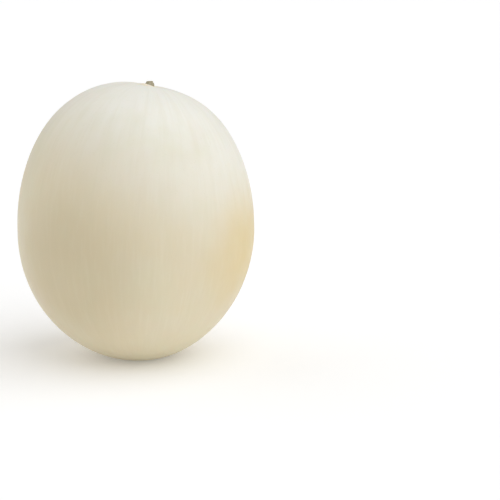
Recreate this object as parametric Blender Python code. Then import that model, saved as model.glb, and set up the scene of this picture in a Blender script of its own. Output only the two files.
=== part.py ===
"""Whole white-skinned honeydew melon, as picked, standing on its blossom end.

Metres, +Z up. The origin is on the surface that the melon rests on, under the middle of the
fruit. The fruit is one solid. The dried stub of its stalk is a second one, seated in a small
round socket at the top, which leans a little towards +X and back towards +Y.
"""

import math

import bmesh
import bpy
from mathutils import Matrix, Quaternion, Vector

# The fruit's body: two half ovals of revolution that meet at its widest level.
HALF_WIDTH = 0.080
STEM_END_HEIGHT = 0.103
BLOSSOM_END_HEIGHT = 0.0878
# How full each half is: 2 is an ellipse, and more than 2 fills out its shoulder.
STEM_END_FULLNESS = 2.20
BLOSSOM_END_FULLNESS = 1.94
# The body grew a little out of upright, with three faint lobes.
BODY_LEAN = math.radians(-1.5)
LOBE_COUNT = 3
LOBE_HEIGHT = 0.0006

# The flat spot that it rests on, the height over which the round skin turns into it, and the
# height under which the skin counts as flat.
REST_RADIUS = 0.016
REST_BLEND = 0.0010
REST_EVENNESS = 0.00002

# The stem end: a narrow dimple round the stalk, in a broad sunken shoulder beside it.
STEM_LEAN_X = math.radians(5.5)
STEM_LEAN_Y = math.radians(4.0)
DIMPLE_DEPTH = 0.0023
DIMPLE_WIDTH = 0.0087
SHOULDER_LEAN_X = math.radians(12.0)
SHOULDER_DEPTH = 0.0023
SHOULDER_WIDTH = 0.028

# The stalk's stub, and the socket that it sits in.
STUB_ROOT_RADIUS = 0.0037
STUB_WAIST_RADIUS = 0.0032
STUB_END_RADIUS = 0.0022
STUB_RISE = 0.0042
STUB_EDGE = 0.0007
STUB_PITH_DEPTH = 0.0004
STUB_BEND = 0.0002
STUB_SLANT = 0.0003
STUB_RIDGES = 5
STUB_RIDGE_HEIGHT = 0.00025
SOCKET_DEPTH = 0.0016
SEAT_GAP = 0.0003

# How finely the surfaces are divided.
FRUIT_SEGMENTS = 64
FRUIT_RINGS = 44
RING_CROWDING = 0.752
FRUIT_SHARP_ANGLE = math.radians(40.0)
STUB_SIDES = 24
STUB_SHARP_ANGLE = math.radians(50.0)
CUTTER_CLEARANCE = 0.004
MERGE_DISTANCE = 0.00001

RIND_COLOUR = (0.812, 0.760, 0.620, 1.0)
RIND_ROUGHNESS = 0.42
STALK_COLOUR = (0.330, 0.285, 0.165, 1.0)
STALK_ROUGHNESS = 0.85


def clear_scene():
    """Start from an empty scene."""
    for old_object in list(bpy.data.objects):
        bpy.data.objects.remove(old_object, do_unlink=True)


def plain_material(name, colour, roughness):
    """A non-metallic material of one colour."""
    material = bpy.data.materials.new(name)
    material.use_nodes = True
    shader = material.node_tree.nodes["Principled BSDF"]
    shader.inputs["Base Color"].default_value = colour
    shader.inputs["Roughness"].default_value = roughness
    shader.inputs["Metallic"].default_value = 0.0
    return material


def new_object(name, mesh_builder, parent):
    """Turn a bmesh into a named object that hangs from its parent."""
    mesh = bpy.data.meshes.new(name)
    mesh_builder.to_mesh(mesh)
    mesh_builder.free()
    made = bpy.data.objects.new(name, mesh)
    made.parent = parent
    bpy.context.scene.collection.objects.link(made)
    return made


def leaning_axis(lean_x, lean_y):
    """Unit vector that leans from +Z by one angle towards +X and one towards +Y."""
    return Vector((math.sin(lean_x), math.sin(lean_y), 1.0)).normalized()


def upright_to_stem():
    """Turn that takes +Z to the stem axis."""
    return Vector((0.0, 0.0, 1.0)).rotation_difference(leaning_axis(STEM_LEAN_X, STEM_LEAN_Y))


def widest_level():
    """Height of the widest level, which leaves a flat spot of the rest radius at z = 0."""
    across = (REST_RADIUS / HALF_WIDTH) ** BLOSSOM_END_FULLNESS
    drop = BLOSSOM_END_HEIGHT * (1.0 - across) ** (1.0 / BLOSSOM_END_FULLNESS)
    return drop - REST_BLEND


def oval_reach(direction):
    """Distance from the middle of the widest level to the two half ovals."""
    if direction.z > 0.0:
        height, fullness = STEM_END_HEIGHT, STEM_END_FULLNESS
    else:
        height, fullness = BLOSSOM_END_HEIGHT, BLOSSOM_END_FULLNESS
    across = math.hypot(direction.x, direction.y) / HALF_WIDTH
    along = abs(direction.z) / height
    return (across ** fullness + along ** fullness) ** (-1.0 / fullness)


def lobe_rise(direction):
    """Height of the lobes, which swap sides between the two halves of the body."""
    across = direction.x ** 2 + direction.y ** 2
    turn = math.atan2(direction.y, direction.x)
    return LOBE_HEIGHT * 2.0 * across * direction.z * math.cos(LOBE_COUNT * turn)


def hollow(direction, axis, depth, width):
    """Depth of a soft round hollow that is centred on an axis through the stem end."""
    off_axis = direction.angle(axis) * STEM_END_HEIGHT
    return depth * math.exp(-((off_axis / width) ** 2))


def skin_point(direction):
    """Point of the skin in a direction from the middle of the widest level."""
    grown = Matrix.Rotation(-BODY_LEAN, 3, "Y") @ direction
    reach = oval_reach(grown) + lobe_rise(grown)
    stem_axis = leaning_axis(STEM_LEAN_X, STEM_LEAN_Y)
    shoulder_axis = leaning_axis(SHOULDER_LEAN_X, STEM_LEAN_Y)
    reach -= hollow(direction, stem_axis, DIMPLE_DEPTH, DIMPLE_WIDTH)
    reach -= hollow(direction, shoulder_axis, SHOULDER_DEPTH, SHOULDER_WIDTH)
    return Vector((0.0, 0.0, widest_level())) + direction * reach


def rested(point):
    """Press a point of the skin onto the surface at z = 0, with a soft turn at the edge."""
    if point.z < -REST_BLEND:
        height = 0.0
    elif point.z < REST_BLEND:
        height = (point.z + REST_BLEND) ** 2 / (4.0 * REST_BLEND)
    else:
        height = point.z
    if height < REST_EVENNESS:
        height = 0.0
    return Vector((point.x, point.y, height))


def crowded_angle(angle):
    """Move an angle from the stem towards the nearer end, so that rings crowd at both ends."""
    return angle - 0.5 * RING_CROWDING * math.sin(2.0 * angle)


def grid_direction(corner):
    """Direction of the skin point that a corner of a unit sphere stands for."""
    angle = crowded_angle(math.acos(max(-1.0, min(1.0, corner.z))))
    turn = math.atan2(corner.y, corner.x)
    upright = Vector((math.sin(angle) * math.cos(turn), math.sin(angle) * math.sin(turn), math.cos(angle)))
    stem_share = 0.5 + 0.5 * math.cos(angle)
    to_stem = Quaternion().slerp(upright_to_stem(), stem_share)
    return to_stem @ upright


def melon_fruit(parent):
    """The fruit: a sphere's grid, each corner moved out to the skin."""
    builder = bmesh.new()
    bmesh.ops.create_uvsphere(builder, u_segments=FRUIT_SEGMENTS, v_segments=FRUIT_RINGS, radius=1.0)
    for corner in builder.verts:
        corner.co = rested(skin_point(grid_direction(corner.co)))
    fruit = new_object("melon_fruit", builder, parent)
    fruit.data.materials.append(plain_material("rind", RIND_COLOUR, RIND_ROUGHNESS))
    fruit.data.shade_smooth()
    fruit.data.set_sharp_from_angle(angle=FRUIT_SHARP_ANGLE)
    return fruit


def stem_frame():
    """Place of the socket's floor: its middle on the stem axis, with +Z along that axis."""
    axis = leaning_axis(STEM_LEAN_X, STEM_LEAN_Y)
    floor_centre = skin_point(axis) - axis * SOCKET_DEPTH
    return Matrix.Translation(floor_centre) @ upright_to_stem().to_matrix().to_4x4()


def cut_socket(fruit, parent):
    """Cut the round socket for the stub's root."""
    height = SOCKET_DEPTH + CUTTER_CLEARANCE
    radius = STUB_ROOT_RADIUS + SEAT_GAP
    builder = bmesh.new()
    bmesh.ops.create_cone(
        builder, cap_ends=True, segments=STUB_SIDES, radius1=radius, radius2=radius, depth=height
    )
    bmesh.ops.translate(builder, verts=builder.verts, vec=(0.0, 0.0, 0.5 * height))
    cutter = new_object("socket_cutter", builder, parent)
    cutter.matrix_local = stem_frame()
    cutter.hide_render = True
    cutter.display_type = "WIRE"
    cut = fruit.modifiers.new("socket", "BOOLEAN")
    cut.operation = "DIFFERENCE"
    cut.solver = "EXACT"
    cut.object = cutter


def stub_profile():
    """Half outline of the stub as (radius, height) pairs, from the root's middle to the pith."""
    skin = SOCKET_DEPTH
    top = skin + STUB_RISE
    waist = skin + 0.5 * STUB_RISE
    return [
        (0.0, SEAT_GAP),
        (STUB_ROOT_RADIUS - STUB_EDGE, SEAT_GAP),
        (STUB_ROOT_RADIUS, SEAT_GAP + STUB_EDGE),
        (STUB_ROOT_RADIUS, skin),
        (0.5 * (STUB_ROOT_RADIUS + STUB_WAIST_RADIUS), 0.5 * (skin + waist)),
        (STUB_WAIST_RADIUS, waist),
        (STUB_END_RADIUS, top - 2.0 * STUB_EDGE),
        (STUB_END_RADIUS, top - STUB_EDGE),
        (STUB_END_RADIUS - STUB_EDGE, top),
        (0.5 * STUB_END_RADIUS, top - 0.5 * STUB_PITH_DEPTH),
        (0.0, top - STUB_PITH_DEPTH),
    ]


def shape_stub(corner):
    """Raise the ridges above the skin, bend the stub towards +X and slant its cut end."""
    share = max(0.0, (corner.z - SOCKET_DEPTH) / STUB_RISE)
    turn = math.atan2(corner.y, corner.x)
    ridge = STUB_RIDGE_HEIGHT * math.cos(STUB_RIDGES * turn) * min(1.0, 2.0 * share)
    swell = 1.0 + ridge / STUB_END_RADIUS
    slant = STUB_SLANT * share ** 2 * corner.x / STUB_END_RADIUS
    return Vector((corner.x * swell + STUB_BEND * share ** 2, corner.y * swell, corner.z + slant))


def stem_stub(parent):
    """The dried stub of the stalk: a turned profile with ridges and a slight bend."""
    builder = bmesh.new()
    corners = [builder.verts.new((radius, 0.0, height)) for radius, height in stub_profile()]
    edges = [builder.edges.new(pair) for pair in zip(corners, corners[1:])]
    bmesh.ops.spin(
        builder, geom=edges, cent=(0.0, 0.0, 0.0), axis=(0.0, 0.0, 1.0), angle=math.tau, steps=STUB_SIDES
    )
    bmesh.ops.remove_doubles(builder, verts=builder.verts, dist=MERGE_DISTANCE)
    for corner in builder.verts:
        corner.co = shape_stub(corner.co)
    bmesh.ops.recalc_face_normals(builder, faces=builder.faces)
    stub = new_object("stem_stub", builder, parent)
    stub.matrix_local = stem_frame()
    stub.data.materials.append(plain_material("stalk", STALK_COLOUR, STALK_ROUGHNESS))
    stub.data.shade_smooth()
    stub.data.set_sharp_from_angle(angle=STUB_SHARP_ANGLE)


def middle_of(mesh):
    """Middle of a mesh's box, in plan."""
    across = [corner.co.x for corner in mesh.vertices]
    along = [corner.co.y for corner in mesh.vertices]
    return 0.5 * (min(across) + max(across)), 0.5 * (min(along) + max(along))


def main():
    """Make the melon with the middle of its box over the origin."""
    clear_scene()
    resting_place = bpy.data.objects.new("resting_place", None)
    bpy.context.scene.collection.objects.link(resting_place)
    fruit = melon_fruit(resting_place)
    cut_socket(fruit, resting_place)
    stem_stub(resting_place)
    middle_x, middle_y = middle_of(fruit.data)
    resting_place.location = (-middle_x, -middle_y, 0.0)


main()
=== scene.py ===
"""Looks of a whole honeydew melon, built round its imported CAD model. Metres, +Z up."""

import math

import bmesh
import bpy
import numpy as np
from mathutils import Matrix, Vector, noise


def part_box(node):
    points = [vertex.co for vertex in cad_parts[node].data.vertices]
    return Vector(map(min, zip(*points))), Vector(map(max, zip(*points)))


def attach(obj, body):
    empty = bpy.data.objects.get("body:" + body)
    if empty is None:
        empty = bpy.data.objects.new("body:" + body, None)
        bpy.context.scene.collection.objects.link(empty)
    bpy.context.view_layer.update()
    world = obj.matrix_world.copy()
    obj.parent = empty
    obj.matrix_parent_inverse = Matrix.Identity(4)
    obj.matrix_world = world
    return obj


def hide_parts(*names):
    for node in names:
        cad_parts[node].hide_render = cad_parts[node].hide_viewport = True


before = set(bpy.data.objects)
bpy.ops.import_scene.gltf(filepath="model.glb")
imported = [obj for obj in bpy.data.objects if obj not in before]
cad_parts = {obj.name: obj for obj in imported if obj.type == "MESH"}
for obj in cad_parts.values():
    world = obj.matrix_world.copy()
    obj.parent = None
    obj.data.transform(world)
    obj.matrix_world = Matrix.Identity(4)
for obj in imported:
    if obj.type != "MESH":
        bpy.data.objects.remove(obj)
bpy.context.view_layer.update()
FRUIT_LOW, FRUIT_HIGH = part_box("melon_fruit")
STUB_LOW, STUB_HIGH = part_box("stem_stub")

# The fruit's shape, in the CAD model's own terms.
HALF_WIDTH = 0.5 * (FRUIT_HIGH.x - FRUIT_LOW.x)
HEIGHT = FRUIT_HIGH.z - FRUIT_LOW.z
STEM_END_HEIGHT = 0.5515 * HEIGHT
BLOSSOM_END_HEIGHT = 0.4701 * HEIGHT
STEM_END_FULLNESS = 2.20
BLOSSOM_END_FULLNESS = 1.94
BODY_LEAN = math.radians(-1.5)
LOBE_COUNT = 3
LOBE_HEIGHT = 0.0006
REST_RADIUS = 0.016
REST_BLEND = 0.0010
REST_EVENNESS = 0.00002
STEM_LEAN_X = math.radians(5.5)
STEM_LEAN_Y = math.radians(4.0)
DIMPLE_DEPTH = 0.0023
DIMPLE_WIDTH = 0.0087
SHOULDER_LEAN_X = math.radians(12.0)
SHOULDER_DEPTH = 0.0023
SHOULDER_WIDTH = 0.028

# The skin's fine relief: height or depth, and the width that each feature spreads over.
SKIN_SEGMENTS = 360
SKIN_RINGS = 260
RING_CROWDING = 0.78
RIB_COUNT = 10
RIB_HEIGHT = 0.00010
RIB_UNEVENNESS = 0.8
SWELL_HEIGHT = 0.00035
SWELL_WIDTH = 0.042
PEBBLE_HEIGHT = 0.00005
PEBBLE_WIDTH = 0.007
PUCKER_COUNT = 11
PUCKER_DEPTH = 0.00012
PUCKER_REACH = 0.0095
PUCKER_SPREAD = 0.6 * PUCKER_REACH
PUCKER_UNEVENNESS = 1.3
SOCKET_RADIUS = 0.0038
SOCKET_DEPTH = 0.0016
SOCKET_RIM_WIDTH = 0.0003
COLLAR_RADIUS = 0.0051
COLLAR_WIDTH = 0.0014
COLLAR_HEIGHT = 0.00035
COLLAR_EXTRA = 0.0016
COLLAR_EXTRA_WIDTH = 0.6
COLLAR_HIGH_SIDE = math.radians(232.0)
MOAT_RADIUS = 0.0090
MOAT_WIDTH = 0.0055
MOAT_DEPTH = 0.0006
BLOSSOM_SCAR_RADIUS = 0.0062
BLOSSOM_SCAR_DEPTH = 0.00035
BLOSSOM_SCAR_EDGE = 0.0008
BLOSSOM_SCAR_RINGS = 3.0

# The stalk's stub. Its cut end is hollow: the three depths are at the middle, a third of the way
# out and two thirds of the way out.
STUB_SIDES = 160
STUB_RINGS = 120
STUB_ROOT_RADIUS = 0.0037
STUB_WAIST_RADIUS = 0.0032
STUB_END_RADIUS = 0.0022
STUB_RISE = 0.0042
STUB_EDGE = 0.0007
STUB_HOLLOW_DEPTHS = (0.0007, 0.0006, 0.0002)
STUB_LIP_DROP = 0.0003
STUB_BEND = 0.0002
STUB_SLANT = 0.0003
STUB_TWIST = 0.35
STUB_RIDGES = 5
STUB_RIDGE_HEIGHT = 0.00028
STUB_RIDGE_LEVEL = 0.55
FIBRE_COUNT = 34
FIBRE_HEIGHT = 0.00006
FIBRE_WIDTH = 0.5
SHRIVEL_HEIGHT = 0.00022
SHRIVEL_WIDTH = 0.8
TORN_HEIGHT = 0.00022
TORN_WIDTH = 0.9
SEAT_GAP = 0.0003

# Two broad tones of the rind: a pale golden area at the right, partly a golden ground spot and partly
# painted reflected light and shade from the fruit beside it, and painted shade that darkens the lower
# left. Each has its middle, and the distances from it between which the tone fades out.
GOLD_SPOT_AND_REFLECTION_MIDDLE = (0.94 * HALF_WIDTH, -0.33 * HALF_WIDTH, 0.43 * HEIGHT)
GOLD_SPOT_AND_REFLECTION_FADE = (-0.004, 0.048)
GOLD_SPOT_AND_REFLECTION_STRENGTH = 0.62
GOLD_SPOT_AND_REFLECTION_EDGE_NOISE = 0.018
# Painted shade at the lower left, put in as a darker tint of the rind.
PAINTED_SHADE_MIDDLE = (-0.50 * HALF_WIDTH, -0.82 * HALF_WIDTH, 0.37 * HEIGHT)
PAINTED_SHADE_FADE = (0.020, 0.070)
PAINTED_SHADE_TINT = (0.87, 0.845, 0.79, 1.0)

# The studio: floor, surroundings, and two lamps as (direction, strength, apparent width).
WHITE = (1.0, 1.0, 1.0, 1.0)
FLOOR_RADIUS = 7.0
FLOOR_DROP = 0.0002
FLOOR_GREY = (0.92, 0.92, 0.92, 1.0)
FLOOR_GLOW = 0.15
SURROUNDINGS_STRENGTH = 0.48
KEY_LAMP = ((0.53, -0.20, 0.82), 1.47, 80.0)
RIM_LAMP = ((-0.75, 0.30, 0.60), 0.45, 70.0)

# The camera: its height angle, its distance from the aim, its lens, and the point it aims at.
CAMERA_ELEVATION = math.radians(12.0)
CAMERA_DISTANCE = 1.30
CAMERA_LENS = 137.7
CAMERA_SENSOR = 36.0
CAMERA_AIM = Vector((0.965 * HALF_WIDTH, 0.0, 0.3885 * HEIGHT))


# ---------------------------------------------------------------- shape of the fruit


def unit(vectors):
    """The same vectors, one metre long."""
    return vectors / np.linalg.norm(vectors, axis=-1, keepdims=True)


def leaning_axis(lean_x, lean_y):
    """Unit vector that leans from +Z by one angle towards +X and one towards +Y."""
    return unit(np.array([math.sin(lean_x), math.sin(lean_y), 1.0]))


STEM_AXIS = leaning_axis(STEM_LEAN_X, STEM_LEAN_Y)
SHOULDER_AXIS = leaning_axis(SHOULDER_LEAN_X, STEM_LEAN_Y)


def widest_level():
    """Height of the widest level above the flat spot."""
    across = (REST_RADIUS / HALF_WIDTH) ** BLOSSOM_END_FULLNESS
    return BLOSSOM_END_HEIGHT * (1.0 - across) ** (1.0 / BLOSSOM_END_FULLNESS) - REST_BLEND


def turned_about(vectors, axis, angles):
    """Vectors turned about one axis, each by its own angle."""
    cosine = np.cos(angles)[:, None]
    sine = np.sin(angles)[:, None]
    along = (vectors @ axis)[:, None]
    return vectors * cosine + np.cross(axis, vectors) * sine + axis * along * (1.0 - cosine)


def angle_from(directions, axis):
    """Angle between each unit direction and an axis."""
    return np.arccos(np.clip(directions @ axis, -1.0, 1.0))


def body_reach(directions):
    """Distance from the middle of the widest level to the smooth skin."""
    lean = np.full(len(directions), -BODY_LEAN)
    grown = turned_about(directions, np.array([0.0, 1.0, 0.0]), lean)
    upper = grown[:, 2] > 0.0
    height = np.where(upper, STEM_END_HEIGHT, BLOSSOM_END_HEIGHT)
    fullness = np.where(upper, STEM_END_FULLNESS, BLOSSOM_END_FULLNESS)
    flat = np.hypot(grown[:, 0], grown[:, 1])
    oval = (flat / HALF_WIDTH) ** fullness + (np.abs(grown[:, 2]) / height) ** fullness
    turn = np.arctan2(grown[:, 1], grown[:, 0])
    lobes = LOBE_HEIGHT * 2.0 * flat**2 * grown[:, 2] * np.cos(LOBE_COUNT * turn)
    dimple = angle_from(directions, STEM_AXIS) * STEM_END_HEIGHT / DIMPLE_WIDTH
    shoulder = angle_from(directions, SHOULDER_AXIS) * STEM_END_HEIGHT / SHOULDER_WIDTH
    sunk = DIMPLE_DEPTH * np.exp(-(dimple**2)) + SHOULDER_DEPTH * np.exp(-(shoulder**2))
    return oval ** (-1.0 / fullness) + lobes - sunk


def noise_at(points, width):
    """Smooth noise from -1 to 1 at each point, with features about that wide."""
    return np.array([noise.noise(point) for point in points / width])


def bump(distance, width):
    """A soft round bump: 1 in the middle, near 0 at one width."""
    return np.exp(-((distance / width) ** 2) * 2.0)


def collar_relief(off_axis, turn):
    """The lip of rind round the stalk, higher on one side, in a shallow puckered moat."""
    high_side = 0.5 + 0.5 * np.cos(turn - COLLAR_HIGH_SIDE)
    lip = bump(off_axis - COLLAR_RADIUS, COLLAR_WIDTH * (1.0 + COLLAR_EXTRA_WIDTH * high_side))
    pucker = np.cos(PUCKER_COUNT * turn + PUCKER_UNEVENNESS * np.sin(3.0 * turn))
    spread = bump(off_axis - PUCKER_REACH, PUCKER_SPREAD)
    moat = MOAT_DEPTH * bump(off_axis - MOAT_RADIUS, MOAT_WIDTH)
    raised = (COLLAR_HEIGHT + COLLAR_EXTRA * high_side**2) * lip
    return raised - moat - PUCKER_DEPTH * pucker * spread


def fine_relief(directions, smooth_points, angle, turn):
    """How far the skin stands out from the smooth body."""
    away_from_ends = np.sin(angle) ** 2
    rib_turn = RIB_COUNT * turn + RIB_UNEVENNESS * np.sin(2.0 * turn)
    ribs = RIB_HEIGHT * away_from_ends * np.cos(rib_turn)
    swells = SWELL_HEIGHT * away_from_ends * noise_at(smooth_points, SWELL_WIDTH)
    pebbles = PEBBLE_HEIGHT * noise_at(smooth_points, PEBBLE_WIDTH)
    off_axis = angle_from(directions, STEM_AXIS) * STEM_END_HEIGHT
    collar = collar_relief(off_axis, turn)
    socket_edge = SOCKET_RADIUS + 0.5 * SOCKET_RIM_WIDTH
    socket = np.clip((socket_edge - off_axis) / SOCKET_RIM_WIDTH, 0.0, 1.0)
    outside = ribs + swells + pebbles + collar
    return outside * (1.0 - socket) - SOCKET_DEPTH * socket


def rested(points):
    """Press the skin onto the surface at z = 0, with a soft turn at the edge."""
    height = points[:, 2]
    turning = (height + REST_BLEND) ** 2 / (4.0 * REST_BLEND)
    pressed = np.where(height < -REST_BLEND, 0.0, np.where(height < REST_BLEND, turning, height))
    pressed = np.where(pressed < REST_EVENNESS, 0.0, pressed)
    return np.column_stack([points[:, 0], points[:, 1], pressed])


def blossom_scar(points):
    """Lift the skin inside the round corky scar under the melon, which sits in the flat spot."""
    off_middle = np.hypot(points[:, 0], points[:, 1])
    inside = np.clip((BLOSSOM_SCAR_RADIUS - off_middle) / BLOSSOM_SCAR_EDGE, 0.0, 1.0)
    rings = 0.75 + 0.25 * np.cos(off_middle / BLOSSOM_SCAR_RADIUS * BLOSSOM_SCAR_RINGS * math.tau)
    low = points[:, 2] < REST_BLEND
    lift = np.where(low, BLOSSOM_SCAR_DEPTH * inside * rings, 0.0)
    return points + np.column_stack([np.zeros_like(lift), np.zeros_like(lift), lift])


def sphere_grid(segments, rings):
    """A closed grid on a unit sphere, as a bmesh."""
    builder = bmesh.new()
    bmesh.ops.create_uvsphere(builder, u_segments=segments, v_segments=rings, radius=1.0)
    return builder


def to_mesh(builder, name):
    """Turn a bmesh into a smooth mesh, and return it with its corners' places."""
    mesh = bpy.data.meshes.new(name)
    builder.to_mesh(mesh)
    builder.free()
    mesh.shade_smooth()
    places = np.empty(3 * len(mesh.vertices), np.float32)
    mesh.vertices.foreach_get("co", places)
    return mesh, places.reshape(-1, 3).astype(float)


def set_places(mesh, places):
    """Move a mesh's corners."""
    mesh.vertices.foreach_set("co", places.astype(np.float32).ravel())
    mesh.update()


def add_vectors(mesh, name, values):
    """Keep a vector for each corner, which the material reads."""
    layer = mesh.attributes.new(name, "FLOAT_VECTOR", "POINT")
    layer.data.foreach_set("vector", values.astype(np.float32).ravel())


def new_piece(name, mesh, material, node):
    """A piece of the melon that stands for a CAD node."""
    mesh.materials.append(material)
    piece = bpy.data.objects.new(name, mesh)
    bpy.context.scene.collection.objects.link(piece)
    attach(piece, "root")
    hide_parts(node)
    return piece


def body_points(directions):
    """Points of the smooth skin, with the middle of the widest level over the origin."""
    return np.array([0.0, 0.0, widest_level()]) + directions * body_reach(directions)[:, None]


def melon_rind(material):
    """The whole skin, from the stalk's socket down to the scar under the melon."""
    mesh, corners = to_mesh(sphere_grid(SKIN_SEGMENTS, SKIN_RINGS), "melon_rind")
    even_angle = np.arccos(np.clip(corners[:, 2], -1.0, 1.0))
    angle = even_angle - 0.5 * RING_CROWDING * np.sin(2.0 * even_angle)
    turn = np.arctan2(corners[:, 1], corners[:, 0])
    across = np.sin(angle)
    upright = np.column_stack([across * np.cos(turn), across * np.sin(turn), np.cos(angle)])
    lean_axis = unit(np.cross([0.0, 0.0, 1.0], STEM_AXIS))
    full_lean = math.acos(STEM_AXIS[2])
    directions = turned_about(upright, lean_axis, full_lean * (0.5 + 0.5 * np.cos(angle)))
    smooth = body_points(directions)
    middle = 0.5 * (smooth.min(axis=0) + smooth.max(axis=0))
    relief = fine_relief(directions, smooth, angle, turn)
    places = rested(smooth + directions * relief[:, None])
    places = blossom_scar(places - np.array([middle[0], middle[1], 0.0]))
    set_places(mesh, places)
    add_vectors(mesh, "meridian", np.column_stack([np.cos(turn), np.sin(turn), angle]))
    new_piece("melon_rind", mesh, material, "melon_fruit")
    return middle


# ---------------------------------------------------------------- shape of the stalk's stub


def stub_outline():
    """Half outline of the stub as (radius, height) pairs, from the cut end's middle to the root's."""
    skin = SOCKET_DEPTH
    top = skin + STUB_RISE
    return np.array([
        (0.0, top - STUB_HOLLOW_DEPTHS[0]),
        (0.30 * STUB_END_RADIUS, top - STUB_HOLLOW_DEPTHS[1]),
        (0.62 * STUB_END_RADIUS, top - STUB_HOLLOW_DEPTHS[2]),
        (0.84 * STUB_END_RADIUS, top),
        (0.97 * STUB_END_RADIUS, top - STUB_LIP_DROP),
        (STUB_END_RADIUS, top - STUB_EDGE),
        (0.55 * STUB_END_RADIUS + 0.45 * STUB_WAIST_RADIUS, top - 1.7 * STUB_EDGE),
        (STUB_WAIST_RADIUS, skin + 0.45 * STUB_RISE),
        (0.5 * (STUB_ROOT_RADIUS + STUB_WAIST_RADIUS), skin + 0.2 * STUB_RISE),
        (STUB_ROOT_RADIUS, skin),
        (STUB_ROOT_RADIUS, SEAT_GAP + STUB_EDGE),
        (STUB_ROOT_RADIUS - STUB_EDGE, SEAT_GAP),
        (0.5 * STUB_ROOT_RADIUS, SEAT_GAP),
        (0.0, SEAT_GAP),
    ])


def smooth_line(points, shares):
    """Points along a smooth line through a list of points, at shares of its length from 0 to 1."""
    steps = np.linalg.norm(np.diff(points, axis=0), axis=1)
    knots = np.concatenate([[0.0], np.cumsum(steps)]) / steps.sum()
    slopes = np.gradient(points, knots, axis=0)
    piece = np.clip(np.searchsorted(knots, shares, side="right") - 1, 0, len(points) - 2)
    span = (knots[piece + 1] - knots[piece])[:, None]
    t = ((shares - knots[piece]) / (knots[piece + 1] - knots[piece]))[:, None]
    start = (2.0 * t**3 - 3.0 * t**2 + 1.0) * points[piece]
    end = (3.0 * t**2 - 2.0 * t**3) * points[piece + 1]
    start_slope = (t**3 - 2.0 * t**2 + t) * span * slopes[piece]
    end_slope = (t**3 - t**2) * span * slopes[piece + 1]
    return start + end + start_slope + end_slope


def stub_surface(share, turn):
    """Places on the upright stub, and the fibre direction there, for shares of its outline."""
    outline = smooth_line(stub_outline(), share)
    radius = np.maximum(outline[:, 0], 0.0)
    height = outline[:, 1]
    rise = np.clip((height - SOCKET_DEPTH) / STUB_RISE, 0.0, 1.0)
    edge = np.clip(radius / STUB_END_RADIUS, 0.0, 1.0) ** 2
    free = np.minimum(1.0, 2.5 * rise)
    twist = turn + STUB_TWIST * rise
    ridge = STUB_RIDGE_HEIGHT * (np.abs(np.cos(0.5 * STUB_RIDGES * twist)) - STUB_RIDGE_LEVEL)
    grain_x = np.cos(twist) * FIBRE_COUNT / math.tau
    grain_y = np.sin(twist) * FIBRE_COUNT / math.tau
    grain = np.column_stack([grain_x, grain_y, rise])
    fibre = FIBRE_HEIGHT * noise_at(grain, FIBRE_WIDTH)
    wrinkle = np.column_stack([np.cos(turn), np.sin(turn), 2.0 * rise])
    shrivel = SHRIVEL_HEIGHT * noise_at(wrinkle, SHRIVEL_WIDTH)
    radius = radius + (ridge + fibre + shrivel) * free * edge
    torn = TORN_HEIGHT * noise_at(grain, TORN_WIDTH) * rise**6
    slant = STUB_SLANT * rise**2 * radius * np.cos(turn) / STUB_END_RADIUS
    height = height + torn + slant
    side = radius * np.cos(turn) + STUB_BEND * rise**2
    places = np.column_stack([side, radius * np.sin(turn), height])
    return places, np.column_stack([np.cos(twist), np.sin(twist), rise])


def stem_stub(material, middle):
    """The dried stub of the stalk: ridged, fibrous and bent, with a hollow cut end."""
    mesh, corners = to_mesh(sphere_grid(STUB_SIDES, STUB_RINGS), "stalk_stub")
    share = np.arccos(np.clip(corners[:, 2], -1.0, 1.0)) / math.pi
    turn = np.arctan2(corners[:, 1], corners[:, 0])
    upright, fibre = stub_surface(share, turn)
    axis_point = body_points(STEM_AXIS[None, :])[0] - STEM_AXIS * SOCKET_DEPTH
    axis_point = axis_point - np.array([middle[0], middle[1], 0.0])
    lean_axis = unit(np.cross([0.0, 0.0, 1.0], STEM_AXIS))
    full_lean = np.full(len(upright), math.acos(STEM_AXIS[2]))
    set_places(mesh, axis_point + turned_about(upright, lean_axis, full_lean))
    add_vectors(mesh, "fibre", fibre)
    new_piece("stalk_stub", mesh, material, "stem_stub")


# ---------------------------------------------------------------- materials


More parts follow.
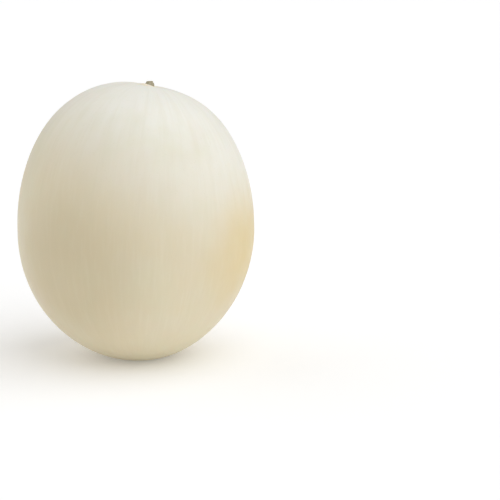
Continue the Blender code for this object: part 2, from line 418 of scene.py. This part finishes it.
class Shader:
    """A material's nodes, with short ways to add the kinds that are used here."""

    def __init__(self, name):
        self.material = bpy.data.materials.new(name)
        self.material.use_nodes = True
        self.tree = self.material.node_tree
        self.principled = self.tree.nodes["Principled BSDF"]

    def put(self, socket, value):
        """Link an output to a socket, or set the socket to a plain value."""
        if isinstance(value, bpy.types.NodeSocket):
            self.tree.links.new(value, socket)
        else:
            socket.default_value = value

    def attribute(self, name):
        """A vector that the mesh keeps for each corner."""
        node = self.tree.nodes.new("ShaderNodeAttribute")
        node.attribute_name = name
        return node.outputs["Vector"]

    def position(self):
        """Place in the melon's own frame, in metres."""
        node = self.tree.nodes.new("ShaderNodeTexCoord")
        return node.outputs["Object"]

    def vector(self, operation, first, second=None):
        """Vector arithmetic."""
        node = self.tree.nodes.new("ShaderNodeVectorMath")
        node.operation = operation
        self.put(node.inputs[0], first)
        if second is not None:
            self.put(node.inputs[1], second)
        return node.outputs["Value" if operation in ("LENGTH", "DOT_PRODUCT", "DISTANCE") else "Vector"]

    def math(self, operation, first, second=0.0):
        """Arithmetic on plain numbers."""
        node = self.tree.nodes.new("ShaderNodeMath")
        node.operation = operation
        self.put(node.inputs[0], first)
        self.put(node.inputs[1], second)
        return node.outputs[0]

    def noise(self, vector, scale, detail=2.0, roughness=0.5, distortion=0.0):
        """Fractal noise from 0 to 1."""
        node = self.tree.nodes.new("ShaderNodeTexNoise")
        self.put(node.inputs["Vector"], vector)
        node.inputs["Scale"].default_value = scale
        node.inputs["Detail"].default_value = detail
        node.inputs["Roughness"].default_value = roughness
        node.inputs["Distortion"].default_value = distortion
        return node.outputs[0]

    def cells(self, vector, scale):
        """Distance to the nearest of scattered points, and that point's random colour."""
        node = self.tree.nodes.new("ShaderNodeTexVoronoi")
        self.put(node.inputs["Vector"], vector)
        node.inputs["Scale"].default_value = scale
        return node.outputs

    def between(self, value, low, high, low_result=0.0, high_result=1.0):
        """Value carried smoothly from one range to another, and held at its ends."""
        node = self.tree.nodes.new("ShaderNodeMapRange")
        node.interpolation_type = "SMOOTHSTEP"
        self.put(node.inputs["Value"], value)
        node.inputs["From Min"].default_value = low
        node.inputs["From Max"].default_value = high
        node.inputs["To Min"].default_value = low_result
        node.inputs["To Max"].default_value = high_result
        return node.outputs["Result"]

    def mix(self, share, first, second, blend="MIX"):
        """Mix of two colours."""
        node = self.tree.nodes.new("ShaderNodeMix")
        node.data_type = "RGBA"
        node.blend_type = blend
        self.put(node.inputs["Factor"], share)
        self.put(node.inputs[6], first)
        self.put(node.inputs[7], second)
        return node.outputs[2]

    def raised(self, height, distance, below=None):
        """Normal of a surface raised by height times distance."""
        node = self.tree.nodes.new("ShaderNodeBump")
        node.inputs["Strength"].default_value = 1.0
        node.inputs["Distance"].default_value = distance
        self.put(node.inputs["Height"], height)
        if below is not None:
            self.put(node.inputs["Normal"], below)
        return node.outputs["Normal"]


def rgb(red, green, blue):
    """Colour given as it is seen, from 0 to 255, as a linear one."""
    seen = [channel / 255.0 for channel in (red, green, blue)]
    linear = [s / 12.92 if s <= 0.04045 else ((s + 0.055) / 1.055) ** 2.4 for s in seen]
    return (*linear, 1.0)


def rind_ground_and_shade(shader, place, meridian):
    """Ivory above to a darker, warmer beige below as painted shade, with faint green and pink mottling and
    streaks.
    """
    # Painted shade: the rind turns a darker, warmer beige towards the lower left, where the shade falls.
    slope = shader.vector("DOT_PRODUCT", place, (-30.0, 0.0, -70.0))
    drift = shader.math("MULTIPLY", shader.noise(place, scale=14.0, detail=3.0), 3.0)
    painted_warm_shade = shader.between(shader.math("ADD", slope, drift), -12.2, -4.6)
    ground = shader.mix(painted_warm_shade, rgb(240, 239, 230), rgb(225, 213, 183))

    green_noise = shader.noise(place, scale=22.0, detail=3.0, roughness=0.55)
    green = shader.between(green_noise, 0.44, 0.74, high_result=0.34)
    ground = shader.mix(green, ground, rgb(222, 221, 192))
    pink_place = shader.vector("ADD", place, (3.1, 1.7, 0.4))
    pink = shader.between(shader.noise(pink_place, scale=26.0, detail=3.0), 0.48, 0.76, high_result=0.20)
    ground = shader.mix(pink, ground, rgb(228, 212, 196))

    streak_place = shader.vector("MULTIPLY", meridian, (12.0, 12.0, 2.2))
    streak_noise = shader.noise(streak_place, scale=1.0, detail=3.0, roughness=0.6, distortion=0.4)
    streak = shader.between(streak_noise, 0.40, 0.70, high_result=0.12)
    ground = shader.mix(streak, ground, rgb(214, 206, 176))
    fine_place = shader.vector("MULTIPLY", meridian, (40.0, 40.0, 4.0))
    fine_streak = shader.between(shader.noise(fine_place, scale=1.0), 0.45, 0.75, high_result=0.06)
    return shader.mix(fine_streak, ground, rgb(250, 246, 236))


def gold_and_painted_shade(shader, place, ground):
    """The pale golden area, partly a ground spot and partly painted reflected light and shade, and the
    painted shade at the lower left.
    """
    # Pale golden area: partly a golden ground spot, partly painted reflected golden light and shade from
    # the fruit beside it.
    gold_reflection_reach = shader.vector("DISTANCE", place, GOLD_SPOT_AND_REFLECTION_MIDDLE)
    gold_reflection_noise = shader.noise(place, scale=30.0, detail=5.0, roughness=0.6)
    gold_reflection_edge = shader.math("MULTIPLY", gold_reflection_noise, GOLD_SPOT_AND_REFLECTION_EDGE_NOISE)
    gold_reflection_reach = shader.math("SUBTRACT", gold_reflection_reach, gold_reflection_edge)
    gold_spot_and_reflection = shader.between(gold_reflection_reach, *GOLD_SPOT_AND_REFLECTION_FADE, GOLD_SPOT_AND_REFLECTION_STRENGTH, 0.0)
    ground = shader.mix(gold_spot_and_reflection, ground, rgb(222, 196, 130))
    # Painted shade: the rind is darker and warmer at the lower left, where the shade falls.
    painted_shade_reach = shader.vector("DISTANCE", place, PAINTED_SHADE_MIDDLE)
    painted_shade_patch = shader.between(painted_shade_reach, *PAINTED_SHADE_FADE, 1.0, 0.0)
    return shader.mix(painted_shade_patch, ground, PAINTED_SHADE_TINT, "MULTIPLY")


def end_tones(shader, place, ground, stem_point):
    """The paler rind round the stalk, and the cork of the scar under the melon."""
    stem_reach = shader.vector("DISTANCE", place, tuple(stem_point))
    stem_ring = shader.between(stem_reach, 0.005, 0.018, 0.35, 0.0)
    ground = shader.mix(stem_ring, ground, rgb(228, 222, 196))
    callus = shader.between(stem_reach, 0.0055, 0.0125, 0.75, 0.0)
    ground = shader.mix(callus, ground, rgb(245, 233, 210))

    low_reach = shader.vector("LENGTH", place)
    scar = shader.between(low_reach, BLOSSOM_SCAR_RADIUS, BLOSSOM_SCAR_RADIUS + 0.0020, 0.85, 0.0)
    scar_noise = shader.noise(place, scale=900.0, detail=4.0, roughness=0.7)
    scar_colour = shader.mix(shader.between(scar_noise, 0.35, 0.65), rgb(150, 124, 86), rgb(190, 168, 126))
    return shader.mix(scar, ground, scar_colour)


def specks(shader, place, ground):
    """Faint close-set pores, and scattered brown flecks of uneven size."""
    pore = shader.cells(place, 330.0)
    dot = shader.between(pore["Distance"], 0.08, 0.20, 0.10, 0.0)
    ground = shader.mix(dot, ground, rgb(205, 194, 160))
    fleck = shader.cells(place, 52.0)
    fleck_size = shader.math("MULTIPLY", fleck["Color"], 0.035)
    fleck_edge = shader.math("SUBTRACT", fleck["Distance"], fleck_size)
    fleck_spot = shader.between(fleck_edge, -0.012, 0.004, 0.42, 0.0)
    return shader.mix(fleck_spot, ground, rgb(168, 140, 98))


def rind_material(stem_point):
    """Smooth waxy ivory rind."""
    shader = Shader("rind")
    place = shader.position()
    ground = rind_ground_and_shade(shader, place, shader.attribute("meridian"))
    ground = gold_and_painted_shade(shader, place, ground)
    ground = end_tones(shader, place, ground, stem_point)
    ground = specks(shader, place, ground)
    shader.put(shader.principled.inputs["Base Color"], ground)
    roughness = shader.between(shader.noise(place, scale=60.0, detail=3.0), 0.3, 0.7, 0.42, 0.54)
    shader.put(shader.principled.inputs["Roughness"], roughness)
    shader.principled.inputs["Specular IOR Level"].default_value = 0.45
    shader.principled.inputs["Subsurface Weight"].default_value = 0.12
    shader.principled.inputs["Subsurface Radius"].default_value = (1.0, 0.6, 0.3)
    shader.principled.inputs["Subsurface Scale"].default_value = 0.006
    grain = shader.raised(shader.noise(place, scale=1400.0), 0.00002)
    waves = shader.raised(shader.noise(place, scale=260.0, detail=3.0), 0.00008, grain)
    shader.put(shader.principled.inputs["Normal"], waves)
    return shader.material


def stalk_material():
    """Dried olive-brown stalk with long fibres and greyer blotches."""
    shader = Shader("stalk")
    place = shader.position()
    fibre_place = shader.vector("MULTIPLY", shader.attribute("fibre"), (9.0, 9.0, 1.2))
    fibre = shader.noise(fibre_place, scale=1.0, detail=4.0, roughness=0.6)
    base = shader.mix(shader.between(fibre, 0.35, 0.65), rgb(190, 184, 160), rgb(158, 145, 116))
    blotch_noise = shader.noise(place, scale=700.0, detail=3.0)
    blotch = shader.between(blotch_noise, 0.45, 0.65, high_result=0.6)
    base = shader.mix(blotch, base, rgb(168, 166, 146))
    shader.put(shader.principled.inputs["Base Color"], base)
    shader.principled.inputs["Roughness"].default_value = 0.85
    shader.put(shader.principled.inputs["Normal"], shader.raised(fibre, 0.0002))
    return shader.material


# ---------------------------------------------------------------- studio


def plain_floor():
    """A wide pale floor just under the melon."""
    builder = bmesh.new()
    bmesh.ops.create_circle(builder, cap_ends=True, segments=96, radius=FLOOR_RADIUS)
    bmesh.ops.translate(builder, verts=builder.verts, vec=(0.0, 0.0, -FLOOR_DROP))
    mesh = bpy.data.meshes.new("floor")
    builder.to_mesh(mesh)
    builder.free()
    floor = bpy.data.objects.new("floor", mesh)
    bpy.context.scene.collection.objects.link(floor)
    shader = Shader("floor")
    shader.principled.inputs["Base Color"].default_value = FLOOR_GREY
    shader.principled.inputs["Roughness"].default_value = 0.9
    shader.principled.inputs["Emission Color"].default_value = WHITE
    shader.principled.inputs["Emission Strength"].default_value = FLOOR_GLOW
    mesh.materials.append(shader.material)


def soft_lamp(name, towards_light, strength, width):
    """A far lamp that looks as wide as the given angle, in degrees."""
    lamp = bpy.data.lights.new(name, "SUN")
    lamp.energy = strength
    lamp.angle = math.radians(width)
    placed = bpy.data.objects.new(name, lamp)
    placed.rotation_euler = Vector(towards_light).to_track_quat("Z", "Y").to_euler()
    bpy.context.scene.collection.objects.link(placed)


def studio_light():
    """White surroundings, a wide soft light from the right and above, and a weaker one at the left."""
    world = bpy.data.worlds.new("surroundings")
    bpy.context.scene.world = world
    world.use_nodes = True
    nodes = world.node_tree.nodes
    links = world.node_tree.links
    lit = nodes["Background"]
    lit.inputs["Color"].default_value = WHITE
    lit.inputs["Strength"].default_value = SURROUNDINGS_STRENGTH
    seen = nodes.new("ShaderNodeBackground")
    seen.inputs["Color"].default_value = WHITE
    seen.inputs["Strength"].default_value = 1.0
    path = nodes.new("ShaderNodeLightPath")
    mixed = nodes.new("ShaderNodeMixShader")
    links.new(path.outputs["Is Camera Ray"], mixed.inputs[0])
    links.new(lit.outputs[0], mixed.inputs[1])
    links.new(seen.outputs[0], mixed.inputs[2])
    links.new(mixed.outputs[0], nodes["World Output"].inputs["Surface"])
    soft_lamp("key", *KEY_LAMP)
    soft_lamp("rim", *RIM_LAMP)


def camera():
    """A long lens a little above the melon, aimed beside it."""
    back = Vector((0.0, -math.cos(CAMERA_ELEVATION), math.sin(CAMERA_ELEVATION)))
    lens = bpy.data.cameras.new("camera")
    lens.lens = CAMERA_LENS
    lens.sensor_width = CAMERA_SENSOR
    made = bpy.data.objects.new("camera", lens)
    made.location = CAMERA_AIM + back * CAMERA_DISTANCE
    made.rotation_euler = back.to_track_quat("Z", "Y").to_euler()
    bpy.context.scene.collection.objects.link(made)
    bpy.context.scene.camera = made


def main():
    """Dress the frame, light it and aim the camera."""
    camera()
    stem_point = 0.5 * (STUB_LOW + STUB_HIGH)
    middle = melon_rind(rind_material(stem_point))
    stem_stub(stalk_material(), middle)
    plain_floor()
    studio_light()
    bpy.context.scene.view_settings.view_transform = "Standard"


main()
